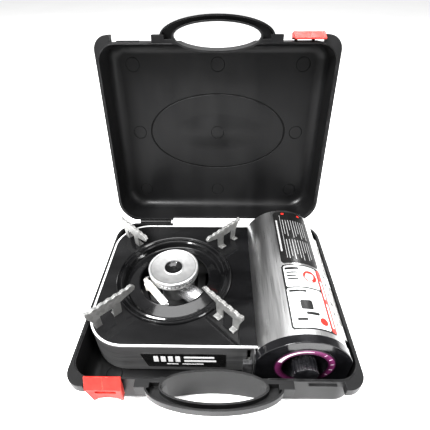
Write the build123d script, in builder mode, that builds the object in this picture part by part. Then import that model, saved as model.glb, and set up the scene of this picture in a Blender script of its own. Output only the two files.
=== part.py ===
"""A mini cartridge gas stove standing in its own two-half carry case.

Millimetres, +Z up, front towards -Y.  The origin is the middle of the tray's flat underside.
The lid is the same moulding as the tray, turned over about Y and swung open about the hinge.
"""

import os
from math import cos, radians, sin, sqrt

from build123d import *

os.makedirs("parts", exist_ok=True)

# Carry case, one half
case_half_width = 148.2
case_front = -123.0
case_back = 124.4
half_depth = 50.0
wall = 2.5
front_corner = 24.0
back_corner = 32.0
floor_round = 16.0
rim_band = 1.8
rim_height = 10.5
hinge_y = 128.0
open_angle = 97.8
running_gap = 0.05

# Carry handle: an oval hole through both halves, with a channel round its outside
handle_y = -129.2
hole_long, hole_short = 52.5, 15.5
handle_long, handle_short = 69.0, 23.2
channel_wall = 2.0

# Case latches
latch_x = -108.75
latch_width = 36.5
pivot_y = case_front - 3.6
pivot_z = 26.0
latch_tilt = 5.0
latch_pin_r = 1.25

# Stove body
sheet = 1.0
body_left, body_right = -144.0, 142.0
body_front, body_back = -91.0, 111.0
body_floor = 6.0
body_top = 54.6
body_corner = 45.0
bay_left = 48.0
bay_front, bay_back = -97.0, 106.0
bay_wall_top = 50.0
plate_thickness = 1.2
plate_top = body_top + plate_thickness

# Burner and pan
burner_x, burner_y = -53.5, 9.4
pan_hole = 44.0
cap_radius = 31.0
cap_top = 74.0
tube_angle = -36.0
tube_z = 41.0

# Pot supports
support_top = 86.0
support_inner, support_outer = 56.4, 118.4
support_sheet = 1.6

# Cartridge bay
cover_x, cover_z = 92.0, 40.0
cover_radius = 50.0
cover_sheet = 0.8
cover_front, cover_back = -96.4, 106.0
cover_hinge_x, cover_hinge_z = 141.2, 52.6
knob_x, knob_z = 93.0, 47.5
bezel_front, bezel_back = -106.0, -97.0
bezel_x, bezel_z = 91.5, 39.2
bezel_radius = 52.3
bezel_left, bezel_right = 42.5, 141.5
well_radius = 23.7
dial_radius = 32.0


# ---------------------------------------------------------------- carry case


def case_plan(grow, height):
    """The plan of a case half at a height, grown outward all round."""
    with BuildSketch(Plane.XY.offset(height)) as plan:
        with Locations((0, (case_front + case_back) / 2)):
            Rectangle(2 * (case_half_width + grow), case_back - case_front + 2 * grow)
        fillet(plan.vertices().group_by(Axis.Y)[0], front_corner + grow)
        fillet(plan.vertices().group_by(Axis.Y)[-1], back_corner + grow)
    return plan.sketch


def handle_oval(long_half, short_half, height=0.0):
    """An oval concentric with the handle's hole."""
    with BuildSketch(Plane.XY.offset(height)) as plan:
        with Locations((0, handle_y)):
            Ellipse(long_half, short_half)
    return plan.sketch


def slab(x_low, x_high, y_low, y_high, z_low, z_high):
    """A plain box between two corners, as a loose solid."""
    middle = ((x_low + x_high) / 2, (y_low + y_high) / 2, (z_low + z_high) / 2)
    return Pos(*middle) * Solid.make_box(
        x_high - x_low, y_high - y_low, z_high - z_low
    ).moved(Pos(-(x_high - x_low) / 2, -(y_high - y_low) / 2, -(z_high - z_low) / 2))


tab_start = 129.5
tab_front = case_front - 8.0
tab_skin = 2.0
skirt_bottom = half_depth - rim_height

# Space inside one half; it stops short of the handle's bay in the front wall
with BuildPart() as case_cavity:
    extrude(case_plan(-wall, wall), amount=half_depth)
    fillet(case_cavity.faces().sort_by(Axis.Z)[0].edges(), floor_round - wall)
    extrude(handle_oval(hole_long + wall, hole_short + wall), amount=2 * half_depth, mode=Mode.SUBTRACT)

# Corner flange outline, one side; the skirt below it is hollow
with BuildSketch(Plane.XY.offset(skirt_bottom)) as tab_plan:
    with Locations(((tab_start + 150.0) / 2, (tab_front - 95.0) / 2)):
        Rectangle(150.0 - tab_start, -95.0 - tab_front)
    fillet(tab_plan.vertices().sort_by(Axis.X)[-2:].sort_by(Axis.Y)[0], 18.0)

with BuildSketch(Plane.XY.offset(skirt_bottom)) as tab_hollow:
    with Locations(((tab_start + 150.0) / 2, (tab_front - 95.0) / 2 + 1.0)):
        Rectangle(150.0 - tab_start - 2 * tab_skin, -95.0 - tab_front - 2 * tab_skin - 2.0)
    fillet(tab_hollow.vertices().sort_by(Axis.X)[-2:].sort_by(Axis.Y)[0], 15.0)
    add(case_plan(0.0, skirt_bottom), mode=Mode.SUBTRACT)

# Cross-section of a hinge knuckle, with the gusset that ties it to the back wall
knuckle_radius = 3.2
with BuildSketch(Plane.YZ) as knuckle_section:
    with Locations((hinge_y, half_depth)):
        Circle(knuckle_radius)
    with BuildLine():
        Polyline(
            (case_back - 0.5, half_depth - 14.0),
            (hinge_y + 2.4, half_depth - 2.1),
            (hinge_y, half_depth),
            (case_back - 0.5, half_depth - 0.3),
            close=True,
        )
    make_face()
    with Locations((hinge_y, half_depth)):
        Circle(1.5 + running_gap, mode=Mode.SUBTRACT)

# Cross-section of a latch lug
with BuildSketch(Plane.YZ) as lug_section:
    with Locations((pivot_y, pivot_z)):
        Circle(2.6)
    with BuildLine():
        Polyline(
            (case_front + 0.5, pivot_z - 2.6),
            (pivot_y, pivot_z - 2.6),
            (pivot_y, pivot_z + 2.6),
            (case_front + 0.5, pivot_z + 2.6),
            close=True,
        )
    make_face()
    with Locations((pivot_y, pivot_z)):
        Circle(latch_pin_r, mode=Mode.SUBTRACT)

# Knuckle spans along X: a long middle knuckle on the left, two ears on the right
middle_knuckle = [(-111.7, -78.3)]
ear_knuckles = [(72.6, 78.0), (112.0, 120.0)]
lug_spans = [(-121.0, -118.0), (-99.5, -96.5)]
ledge_low, ledge_high, ledge_proud = half_depth - 8.5, half_depth - 6.0, 1.6
tongue = 1.1


def rim_line(from_inside, to_inside, height, side):
    """Strip of the rim between two distances from the wall's inner face, on one half (1 right, -1 left)."""
    with BuildSketch(Plane.XY.offset(height)) as strip:
        add(case_plan(to_inside - wall, height))
        add(case_plan(from_inside - wall, height), mode=Mode.SUBTRACT)
        with Locations((-100.0 * side, 0)):
            Rectangle(200, 400, mode=Mode.SUBTRACT)
        with Locations((0, 200)):
            Rectangle(400, 170, mode=Mode.SUBTRACT)
        with Locations((0, handle_y)):
            Ellipse(hole_long + 6, hole_short + 6, mode=Mode.SUBTRACT)
    return strip.sketch


with BuildPart() as case_half:
    extrude(case_plan(0.0, 0.0), amount=half_depth)
    fillet(case_half.faces().sort_by(Axis.Z)[0].edges(), floor_round)
    # thickened rim band along the sides only
    extrude(case_plan(rim_band, skirt_bottom), amount=rim_height)
    add(slab(-200, 200, case_front - 9, case_front, -1, half_depth + 1), mode=Mode.SUBTRACT)
    add(slab(-200, 200, case_back, case_back + 9, -1, half_depth + 1), mode=Mode.SUBTRACT)
    # flanges round the two front corners
    extrude(tab_plan.sketch, amount=rim_height)
    extrude(tab_hollow.sketch, amount=rim_height - 2.2, mode=Mode.SUBTRACT)
    extrude(mirror(tab_plan.sketch, about=Plane.YZ, mode=Mode.PRIVATE), amount=rim_height)
    extrude(
        mirror(tab_hollow.sketch, about=Plane.YZ, mode=Mode.PRIVATE),
        amount=rim_height - 2.2,
        mode=Mode.SUBTRACT,
    )
    # handle: solid oval bar, then the open channel in its top
    extrude(handle_oval(handle_long, handle_short, skirt_bottom), amount=rim_height)
    with BuildSketch(Plane.XY.offset(skirt_bottom + 2.0)) as channel:
        with Locations((0, handle_y)):
            Ellipse(handle_long - channel_wall, handle_short - channel_wall)
            Ellipse(hole_long + channel_wall, hole_short + channel_wall, mode=Mode.SUBTRACT)
        with Locations((0, case_front - 3.0 + 40.0)):
            Rectangle(200.0, 80.0, mode=Mode.SUBTRACT)
    extrude(amount=rim_height, mode=Mode.SUBTRACT)
    # square pads where the handle meets the front wall
    for side in (-1, 1):
        pad_low, pad_high = min(side * 64, side * 79), max(side * 64, side * 79)
        add(slab(pad_low, pad_high, -131.0, case_front + 1, 36.0, half_depth))
    # latch lugs on the left, and the ledge for the other half's latch on the right
    for low, high in lug_spans:
        extrude(Pos(low, 0, 0) * lug_section.sketch, amount=high - low)
    add(slab(95.0, 123.0, case_front - ledge_proud, case_front + 1, ledge_low, ledge_high))
    for low, high in middle_knuckle + ear_knuckles:
        extrude(Pos(low, 0, 0) * knuckle_section.sketch, amount=high - low)
    # inside space and the hand hole
    add(case_cavity.part, mode=Mode.SUBTRACT)
    extrude(handle_oval(hole_long, hole_short, -1.0), amount=half_depth + 2, mode=Mode.SUBTRACT)
    # lowered stretch of back rim between the hinges
    add(slab(-69.0, 69.0, case_back - 6, case_back + 1, half_depth - 6.0, half_depth + 1), mode=Mode.SUBTRACT)
    # tongue on the right half of the rim, rebate on the left half
    extrude(rim_line(0.15, tongue, half_depth, 1), amount=tongue)
    rebate_line = rim_line(-1.0, tongue + 0.2, half_depth - tongue - 0.2, -1)
    extrude(rebate_line, amount=tongue + 1, mode=Mode.SUBTRACT)
    # moulded marks in the floor: nine round ones and a long oval line with a shallow dish inside it
    with BuildSketch(Plane.XY.offset(wall)) as round_marks:
        for column in (-1, 0, 1):
            for row in (-1, 0, 1):
                with Locations((column * 116.0, row * 93.5)):
                    Circle(9.5)
                    Circle(8.8, mode=Mode.SUBTRACT)
    extrude(amount=-0.5, mode=Mode.SUBTRACT)
    with BuildSketch(Plane.XY.offset(wall)) as oval_line:
        Ellipse(99.5, 56.0)
        Ellipse(97.5, 54.0, mode=Mode.SUBTRACT)
    extrude(amount=-0.9, mode=Mode.SUBTRACT)

# Where the lid stands: turned over about Y, then swung open about the hinge
lid_place = (
    Pos(0, hinge_y, half_depth) * Rot(-open_angle, 0, 0) * Pos(0, -hinge_y, -half_depth)
    * Pos(0, 0, half_depth) * Rot(0, 180, 0) * Pos(0, 0, -half_depth)
)

with BuildPart() as tray_shell:
    add(case_half.part)
tray_shell.part.label = "tray_shell"
export_step(tray_shell.part, "parts/tray_shell.step")

with BuildPart() as lid_shell:
    add(case_half.part.moved(lid_place))
lid_shell.part.label = "lid_shell"
export_step(lid_shell.part, "parts/lid_shell.step")

with BuildPart() as hinge_pins:
    for low, high in ((-120.0, -72.6), (72.6, 120.0)):
        with BuildSketch(Plane.YZ.offset(low)):
            with Locations((hinge_y, half_depth)):
                Circle(1.5)
        extrude(amount=high - low)
hinge_pins.part.label = "hinge_pins"
export_step(hinge_pins.part, "parts/hinge_pins.step")

# Latch block, drawn clasped: a hooked top, a sloping brow, a hollowed front and slots for the lugs
latch_left = latch_x - latch_width / 2
latch_right = latch_x + latch_width / 2
latch_front = pivot_y - 5.6
brow_bottom = pivot_z + 23.5
hollow_depth, hollow_radius = 2.8, 50.0
foot_width, foot_bottom = 4.6, pivot_z - 4.6
with BuildPart() as latch_block:
    with BuildSketch(Plane.YZ.offset(latch_left)) as latch_section:
        with BuildLine():
            Polyline(
                (pivot_y + 2.0, pivot_z - 2.2),
                (latch_front + 0.4, pivot_z - 3.0),
                (latch_front, brow_bottom),
                (case_front - 1.8, pivot_z + 36.0),
                (case_front - 0.4, pivot_z + 35.4),
                (case_front - 0.4, pivot_z + 32.9),
                (case_front - 2.1, pivot_z + 32.9),
                (case_front - 2.1, pivot_z + 4.0),
                close=True,
            )
        make_face()
    extrude(amount=latch_width)
    # a short foot at each end, and the front hollowed between the ends below the brow
    for low in (latch_left + 1.6, latch_right - 1.6 - foot_width):
        add(slab(low, low + foot_width, latch_front + 0.4, pivot_y - 3.0, foot_bottom, pivot_z))
    with BuildSketch(Plane.XY.offset(foot_bottom - 1.0)) as front_hollow:
        with Locations((latch_x, latch_front + hollow_depth - hollow_radius)):
            Circle(hollow_radius)
    extrude(amount=brow_bottom - 2.5 - foot_bottom + 1.0, mode=Mode.SUBTRACT)
    # sides taper towards the foot
    for edge, inward in ((latch_left, 1), (latch_right, -1)):
        with BuildSketch(Plane.XZ.offset(-case_front)) as taper:
            with BuildLine():
                Polyline(
                    (edge - inward, pivot_z + 24.0),
                    (edge, pivot_z + 24.0),
                    (edge + 3.0 * inward, foot_bottom - 0.4),
                    (edge - inward, foot_bottom - 0.4),
                    close=True,
                )
            make_face()
        extrude(amount=12.0, mode=Mode.SUBTRACT)
    for low, high in lug_spans:
        lug_room = slab(low - 0.4, high + 0.4, pivot_y - 3.1, case_front, pivot_z - 4, pivot_z + 6)
        add(lug_room, mode=Mode.SUBTRACT)
    # finger dish low on the front, and the seam down the brow
    with BuildSketch(Plane.XZ.offset(-latch_front + 1.0)) as finger_dish:
        with Locations((latch_x, pivot_z + 13.0)):
            Ellipse(11.0, 5.0)
    extrude(amount=-hollow_depth - 2.2, mode=Mode.SUBTRACT)
    with BuildSketch(Plane.YZ.offset(latch_x - 0.4)) as brow_seam:
        with BuildLine():
            Polyline(
                (latch_front - 1.0, brow_bottom - 0.3),
                (pivot_y + 1.0, pivot_z + 36.6),
                (pivot_y + 1.7, pivot_z + 35.4),
                (latch_front + 0.7, brow_bottom + 0.7),
                close=True,
            )
        make_face()
    extrude(amount=0.8, mode=Mode.SUBTRACT)
    with BuildSketch(Plane.YZ) as bore:
        with Locations((pivot_y, pivot_z)):
            Circle(latch_pin_r + running_gap)
    extrude(amount=-300.0, mode=Mode.SUBTRACT)

latch_rest = Pos(0, pivot_y, pivot_z) * Rot(latch_tilt, 0, 0) * Pos(0, -pivot_y, -pivot_z)

with BuildPart() as tray_latch:
    add(latch_block.part.moved(latch_rest))
tray_latch.part.label = "tray_latch"
export_step(tray_latch.part, "parts/tray_latch.step")

with BuildPart() as lid_latch:
    add(latch_block.part.moved(lid_place * latch_rest))
lid_latch.part.label = "lid_latch"
export_step(lid_latch.part, "parts/lid_latch.step")

with BuildPart() as tray_latch_pin:
    with BuildSketch(Plane.YZ.offset(latch_left + 3.5)):
        with Locations((pivot_y, pivot_z)):
            Circle(latch_pin_r)
    extrude(amount=latch_width - 7.0)
tray_latch_pin.part.label = "tray_latch_pin"
export_step(tray_latch_pin.part, "parts/tray_latch_pin.step")

with BuildPart() as lid_latch_pin:
    add(tray_latch_pin.part.moved(lid_place))
lid_latch_pin.part.label = "lid_latch_pin"
export_step(lid_latch_pin.part, "parts/lid_latch_pin.step")


# ---------------------------------------------------------------- stove body


def body_block(inset, top):
    """The stove's outer block: burner side with big left corners, cartridge bay on the right."""
    low = body_floor + inset
    with BuildPart() as block:
        with BuildSketch(Plane.XY.offset(low)) as burner_side:
            with Locations(((body_left + inset + 60.0) / 2, (body_front + body_back) / 2)):
                Rectangle(60.0 - body_left - inset, body_back - body_front - 2 * inset)
            fillet(burner_side.vertices().group_by(Axis.X)[0], body_corner - inset)
        extrude(amount=top - low)
        fillet(block.faces().sort_by(Axis.Z)[0].edges().sort_by(Axis.X)[:-1], 5.0 - inset)
    with BuildPart() as bay:
        with BuildSketch(Plane.XY.offset(low)) as bay_side:
            with Locations(((42.0 + body_right) / 2, (bay_front + bay_back) / 2)):
                Rectangle(body_right - 42.0 - 2 * inset, bay_back - bay_front - 2 * inset)
            right_corners = bay_side.vertices().group_by(Axis.X)[-1].sort_by(Axis.Y)
            fillet(right_corners[0], 4.0 - inset)
            fillet(bay_side.vertices().group_by(Axis.Y)[-1].sort_by(Axis.X)[-1], 12.0 - inset)
        extrude(amount=top - low)
        fillet(bay.faces().sort_by(Axis.Z)[0].edges().sort_by(Axis.X)[1:], 3.0 - inset)
    return block.part + bay.part


def top_outline(inset, height):
    """Plan of the burner side's top edge, inset from the body's outside, open towards the bay."""
    with BuildSketch(Plane.XY.offset(height)) as outline:
        with Locations(((body_left + inset + bay_left) / 2, (body_front + body_back) / 2)):
            Rectangle(bay_left - body_left - inset, body_back - body_front - 2 * inset)
        fillet(outline.vertices().group_by(Axis.X)[0], body_corner - inset)
    return outline.sketch


slot_left, slot_right = 34.5, 39.5
with BuildPart() as body_shell:
    add(body_block(0.0, body_top))
    add(body_block(sheet, body_top + 1), mode=Mode.SUBTRACT)
    # bay walls stop lower than the burner side's
    add(slab(bay_left, 160, -110, 120, bay_wall_top, body_top + 1), mode=Mode.SUBTRACT)
    # turned-in flange that the top plate lies on
    extrude(top_outline(sheet / 2, body_top - sheet) - top_outline(7.0, body_top - sheet), amount=sheet)
    # slot for the lock lever
    add(slab(slot_left, slot_right, body_front - 1, body_front + sheet + 0.5, 12, 52), mode=Mode.SUBTRACT)
    # hole for the valve shaft in the bay's front wall
    with BuildSketch(Plane.XZ.offset(-bay_front + 1)):
        with Locations((knob_x, knob_z)):
            Circle(6.0)
    extrude(amount=-4.0, mode=Mode.SUBTRACT)
    # air slots in the floor under the burner
    with BuildSketch(Plane.XY.offset(body_floor - 1)) as air_slots:
        with GridLocations(16.0, 60.0, 6, 2):
            with Locations((burner_x, burner_y)):
                SlotOverall(42.0, 5.0, rotation=90)
    extrude(amount=3.0, mode=Mode.SUBTRACT)
body_shell.part.label = "body_shell"
export_step(body_shell.part, "parts/body_shell.step")

with BuildPart() as partition_wall:
    add(slab(bay_left - 1, bay_left, body_front + 1.2, body_back - 1.2, 11.0, body_top - sheet))
    with BuildSketch(Plane.YZ.offset(bay_left - 2)) as pipe_hole:
        with Locations((-64.0, tube_z)):
            Circle(4.5)
        with Locations((-80.0, 22.0)):
            Circle(2.0)
    extrude(amount=4.0, mode=Mode.SUBTRACT)
partition_wall.part.label = "partition_wall"
export_step(partition_wall.part, "parts/partition_wall.step")

with BuildPart() as top_plate:
    extrude(top_outline(2.4, body_top), amount=plate_thickness)
    with BuildSketch(Plane.XY.offset(body_top)) as pan_opening:
        with Locations((burner_x, burner_y)):
            Circle(66.6)
    extrude(amount=plate_thickness, mode=Mode.SUBTRACT)
top_plate.part.label = "top_plate"
export_step(top_plate.part, "parts/top_plate.step")

with BuildPart() as edge_trim:
    extrude(top_outline(0.0, body_top) - top_outline(2.3, body_top), amount=plate_thickness + 0.6)
edge_trim.part.label = "edge_trim"
export_step(edge_trim.part, "parts/edge_trim.step")

foot_places = [(-105.0, -55.0), (-105.0, 75.0), (112.0, -70.0), (112.0, 80.0)]
with BuildPart() as rubber_feet:
    with BuildSketch(Plane.XY.offset(wall)):
        with Locations(foot_places):
            Circle(7.0)
    extrude(amount=body_floor - wall)
rubber_feet.part.label = "rubber_feet"
export_step(rubber_feet.part, "parts/rubber_feet.step")

# Name plate with a slanting left end
with BuildPart() as badge_plate:
    with BuildSketch(Plane.XZ.offset(-body_front)) as plate_outline:
        with BuildLine():
            Polyline((-81.0, 42.8), (12.0, 42.8), (12.0, 17.5), (-74.5, 17.5), close=True)
        make_face()
        fillet(plate_outline.vertices(), 1.5)
    extrude(amount=0.6)
badge_plate.part.label = "badge_plate"
export_step(badge_plate.part, "parts/badge_plate.step")

# ---------------------------------------------------------------- burner and pan

burner_plane = Plane(origin=(burner_x, burner_y, 0), x_dir=(1, 0, 0), z_dir=(0, -1, 0))
burner_axis = Axis((burner_x, burner_y, 0), (0, 0, 1))
pan_sheet = 0.8
# Upper surface of the pan from its rim inwards, as (radius, height): a double bead, a trough, then a
# ring that rises again to the rolled edge of the middle hole
pan_line = [
    (73.4, 56.7), (73.2, 57.9), (72.0, 58.9), (70.6, 58.5), (69.4, 57.2), (67.6, 56.8),
    (66.0, 57.7), (64.8, 57.4), (63.4, 56.0), (60.6, 50.4), (59.2, 49.6), (46.8, 52.9),
    (45.4, 53.1), (pan_hole, 52.4),
]
with BuildPart() as drip_pan:
    with BuildSketch(burner_plane) as pan_section:
        with BuildLine():
            Polyline(pan_line + [(r - 0.25, z - pan_sheet) for r, z in reversed(pan_line)], close=True)
        make_face()
    revolve(axis=burner_axis)
drip_pan.part.label = "drip_pan"
export_step(drip_pan.part, "parts/drip_pan.step")

# Cup with a closed foot and a port for the mixing tube
tube_radius = 11.0
cup_foot = 17.5
tube_plane = Plane(
    origin=(burner_x, burner_y, tube_z),
    x_dir=(sin(radians(-tube_angle)), cos(radians(tube_angle)), 0),
    z_dir=(cos(radians(tube_angle)), sin(radians(tube_angle)), 0),
)
cup_outside = [(0, 28), (cup_foot, 28), (cup_foot, 48), (27.0, 62.0), (30.5, 63.0), (30.5, 65.0)]
cup_inside = [(25.6, 65.0), (15.5, 49.0), (15.5, 30), (0, 30)]
with BuildPart() as cup_envelope:
    with BuildSketch(burner_plane):
        with BuildLine():
            Polyline(cup_outside + [(0, 65.0)], close=True)
        make_face()
    revolve(axis=burner_axis)

with BuildPart() as burner_cup:
    with BuildSketch(burner_plane):
        with BuildLine():
            Polyline(cup_outside + cup_inside, close=True)
        make_face()
    revolve(axis=burner_axis)
    with BuildSketch(tube_plane):
        Circle(tube_radius - 1.0)
    extrude(amount=30.0, mode=Mode.SUBTRACT)
burner_cup.part.label = "burner_cup"
export_step(burner_cup.part, "parts/burner_cup.step")

# Cap: slotted skirt, double rim, hollowed top with a round dimple in the middle
skirt_top = 68.6
with BuildPart() as burner_cap:
    with BuildSketch(burner_plane):
        with BuildLine():
            Polyline(
                (0, 69.4), (4.5, 69.9), (8.2, 71.2), (10.6, 72.6), (12.6, 72.0), (20.0, 72.6),
                (28.6, 73.7), (29.6, cap_top), (cap_radius, 73.6), (31.0, 70.0), (30.2, skirt_top),
                (28.6, skirt_top), (28.6, 65.0), (26.4, 65.0), (26.4, 67.6), (0, 67.0), close=True,
            )
        make_face()
    revolve(axis=burner_axis)
    with BuildSketch(Plane.XY.offset(65.0)) as flame_slots:
        with Locations((burner_x, burner_y)):
            with PolarLocations(28.0, 36):
                Rectangle(6.0, 1.5)
    extrude(amount=skirt_top - 65.6, mode=Mode.SUBTRACT)
burner_cap.part.label = "burner_cap"
export_step(burner_cap.part, "parts/burner_cap.step")

# Mixing tube: straight barrel from the cup, then a narrower throat and a bell round the jet
with BuildPart() as mixing_tube:
    with BuildSketch(Plane(origin=tube_plane.origin, x_dir=tube_plane.z_dir, z_dir=tube_plane.x_dir)):
        with BuildLine():
            Polyline(
                (10.0, tube_radius), (34.0, tube_radius), (52.0, 7.0), (78.0, 7.0), (100.0, 10.0),
                (100.0, 9.0), (78.0, 6.0), (52.0, 6.0), (34.0, tube_radius - 1.0), (10.0, tube_radius - 1.0),
                close=True,
            )
        make_face()
    revolve(axis=Axis(tube_plane.origin, tube_plane.z_dir))
    add(cup_envelope.part, mode=Mode.SUBTRACT)
mixing_tube.part.label = "mixing_tube"
export_step(mixing_tube.part, "parts/mixing_tube.step")

# Brass jet: hexagon with a nose that points up the tube
with BuildPart() as jet_nozzle:
    with BuildSketch(tube_plane.offset(107.0)):
        RegularPolygon(5.0, 6)
    extrude(amount=6.0)
    with BuildSketch(tube_plane.offset(96.0)):
        Circle(2.4)
    extrude(amount=11.0)
jet_nozzle.part.label = "jet_nozzle"
export_step(jet_nozzle.part, "parts/jet_nozzle.step")

# Upright bracket that holds the mouth of the tube and the jet
with BuildPart() as jet_bracket:
    foot_drop, head_rise = tube_z - body_floor - sheet, 9.0
    with BuildSketch(tube_plane.offset(105.8)):
        with Locations((0, (head_rise - foot_drop) / 2)):
            Rectangle(22.0, head_rise + foot_drop)
    extrude(amount=1.2)
    with BuildSketch(tube_plane.offset(100.0)):
        Circle(2.45)
    extrude(amount=8.0, mode=Mode.SUBTRACT)
jet_bracket.part.label = "jet_bracket"
export_step(jet_bracket.part, "parts/jet_bracket.step")

# ---------------------------------------------------------------- pot supports

support_foot = plate_top
teeth = 6
band_width, band_height = 3.8, 3.6


def support_part(heading):
    """One sheet support standing on the plate at a heading, in degrees from +X."""
    along = Vector(cos(radians(heading)), sin(radians(heading)), 0)
    stand = Plane(origin=(burner_x, burner_y, 0), x_dir=along, z_dir=along.cross(Vector(0, 0, 1)))
    with BuildPart() as support:
        with BuildSketch(stand.offset(-support_sheet / 2)) as side_view:
            with BuildLine():
                Polyline(
                    (support_inner, support_top - 3.5), (60.0, support_top), (115.5, support_top),
                    (support_outer, support_top + 1.2), (support_outer, support_top - 5.0),
                    (113.0, support_foot + 12.0), (111.6, support_foot), (103.8, support_foot),
                    (103.8, support_foot + 15.0), (88.6, support_foot + 15.0), (88.6, support_foot),
                    (78.6, support_foot), (77.6, support_foot + 17.0), (58.0, support_top - 8.0),
                    close=True,
                )
            make_face()
            arch = [v for v in side_view.vertices() if 13 < v.Z - support_foot < 16]
            fillet(arch, 5.0)
            # shallow waves cut in the top edge
            pitch = 54.0 / teeth
            with Locations(*[(62.5 + pitch * (n + 0.5), support_top + 2.2) for n in range(teeth)]):
                Circle(3.6, mode=Mode.SUBTRACT)
        extrude(amount=support_sheet)
        # top edge folded over into a wider toothed band
        with BuildSketch(stand.offset(-support_sheet / 2)) as toothed_band:
            add(side_view.sketch_local)
            with Locations(((support_inner + support_outer) / 2, support_top)):
                Rectangle(2 * support_outer, 2 * band_height, mode=Mode.INTERSECT)
        extrude(amount=band_width)
        # feet turned over at the bottom of each leg
        for middle, length in ((83.6, 9.0), (107.6, 7.0)):
            with BuildSketch(Plane(origin=(burner_x, burner_y, support_foot), x_dir=along, z_dir=(0, 0, 1))):
                with Locations((middle, -3.4)):
                    Rectangle(length, 6.8)
                with Locations((middle, -4.2)):
                    Circle(1.25, mode=Mode.SUBTRACT)
            extrude(amount=1.2)
    return support.part


support_headings = {"front_left": -135.0, "front_right": -45.0, "back_right": 45.0, "back_left": 135.0}
for corner, heading in support_headings.items():
    with BuildPart() as pot_support:
        add(support_part(heading))
    pot_support.part.label = f"pot_support_{corner}"
    export_step(pot_support.part, f"parts/pot_support_{corner}.step")

with BuildPart() as support_rivets:
    for heading in support_headings.values():
        for middle in (83.6, 107.6):
            spot = Pos(burner_x, burner_y, support_foot) * Rot(0, 0, heading) * Pos(middle, -4.2, 0)
            with BuildSketch(Plane(origin=(spot.position.X, spot.position.Y, support_foot))) as shank:
                Circle(1.2)
            extrude(amount=1.2)
            with BuildSketch(Plane(origin=(spot.position.X, spot.position.Y, support_foot + 1.2))) as head:
                Circle(2.3)
            extrude(amount=0.8, taper=25)
support_rivets.part.label = "support_rivets"
export_step(support_rivets.part, "parts/support_rivets.step")

# ---------------------------------------------------------------- ignition and gas train

# Spark shield: a broad strip that slopes down past the burner, a clip on it and its leg to the body floor
shield_high = Vector(-84.5, -11.0, 66.5)
shield_low = Vector(-60.5, -30.5, 50.0)
shield_width, shield_sheet = 9.0, 1.0
shield_run = shield_low - shield_high
shield_plane = Plane(origin=shield_high, x_dir=shield_run, z_dir=shield_run.cross(Vector(0.8, 0.575, 0.231)))
leg_width = 8.0
with BuildPart() as igniter_bracket:
    with BuildSketch(shield_plane) as strip_outline:
        with Locations((shield_run.length / 2, 0)):
            Rectangle(shield_run.length, shield_width)
        fillet(strip_outline.vertices(), 1.2)
    extrude(amount=shield_sheet)
    with BuildSketch(shield_plane.offset(shield_sheet)) as clip_outline:
        with Locations((shield_run.length * 0.55, 1.6)):
            Rectangle(8.0, 3.4)
    extrude(amount=1.4)
    add(slab(
        shield_low.X - leg_width / 2, shield_low.X + leg_width / 2,
        shield_low.Y - shield_sheet / 2, shield_low.Y + shield_sheet / 2,
        body_floor + sheet, shield_low.Z + 0.3,
    ))
igniter_bracket.part.label = "igniter_bracket"
export_step(igniter_bracket.part, "parts/igniter_bracket.step")

electrode_x, electrode_y = -87.3, -2.9
with BuildPart() as electrode_insulator:
    with BuildSketch(Plane(origin=(electrode_x, electrode_y, 44.0))):
        Circle(3.0)
    extrude(amount=18.0)
electrode_insulator.part.label = "electrode_insulator"
export_step(electrode_insulator.part, "parts/electrode_insulator.step")

with BuildPart() as spark_electrode:
    with BuildSketch(Plane(origin=(electrode_x, electrode_y, 62.0))):
        Circle(0.8)
    extrude(amount=4.5)
    with BuildSketch(Plane(origin=(electrode_x, electrode_y, 65.7), x_dir=(0, 0, 1), z_dir=(0.94, 0.342, 0))):
        Circle(0.8)
    extrude(amount=4.5)
spark_electrode.part.label = "spark_electrode"
export_step(spark_electrode.part, "parts/spark_electrode.step")

# Ignition lead, clipped along the body's floor from the electrode to the spark unit
lead_route = [
    (electrode_x, electrode_y, 44.0), (electrode_x, electrode_y, 26.0), (-62.0, -50.0, 22.0),
    (-10.0, -78.0, 22.0), (36.0, -80.0, 22.0), (66.0, -80.0, 22.0),
]
with BuildPart() as ignition_lead:
    with BuildLine() as lead_path:
        FilletPolyline(*lead_route, radius=8.0)
    with BuildSketch(Plane(origin=lead_route[0], z_dir=(0, 0, -1))):
        Circle(1.1)
    sweep()
ignition_lead.part.label = "ignition_lead"
export_step(ignition_lead.part, "parts/ignition_lead.step")

# Mounting plate behind the bezel, shaped like the bay's end
with BuildPart() as mounting_plate:
    with BuildSketch(Plane.XZ.offset(94.0)) as end_outline:
        with Locations((cover_x, cover_z)):
            Circle(cover_radius - cover_sheet - 2.2)
        with Locations((cover_x, cover_z + 30.0)):
            Rectangle(120, 120, mode=Mode.INTERSECT)
        with Locations((knob_x, knob_z)):
            Circle(5.0, mode=Mode.SUBTRACT)
    extrude(amount=1.5)
mounting_plate.part.label = "mounting_plate"
export_step(mounting_plate.part, "parts/mounting_plate.step")

# Regulator: round body on the knob's axis, a socket for the cartridge and a side outlet
with BuildPart() as regulator_body:
    with BuildSketch(Plane.XZ.offset(82.0)):
        with Locations((knob_x, knob_z)):
            Circle(22.0)
    extrude(amount=12.0)
    with BuildSketch(Plane.XZ.offset(76.0)):
        with Locations((knob_x, knob_z)):
            Circle(12.0)
            Circle(7.5, mode=Mode.SUBTRACT)
    extrude(amount=6.0)
    with BuildSketch(Plane.YZ.offset(knob_x - 34.0)):
        with Locations((-88.0, 38.0)):
            Circle(5.0)
    extrude(amount=20.0)
    with BuildSketch(Plane.XZ.offset(88.0)):
        with Locations((knob_x, knob_z)):
            Circle(3.0)
    extrude(amount=7.0, mode=Mode.SUBTRACT)
regulator_body.part.label = "regulator_body"
export_step(regulator_body.part, "parts/regulator_body.step")

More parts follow.
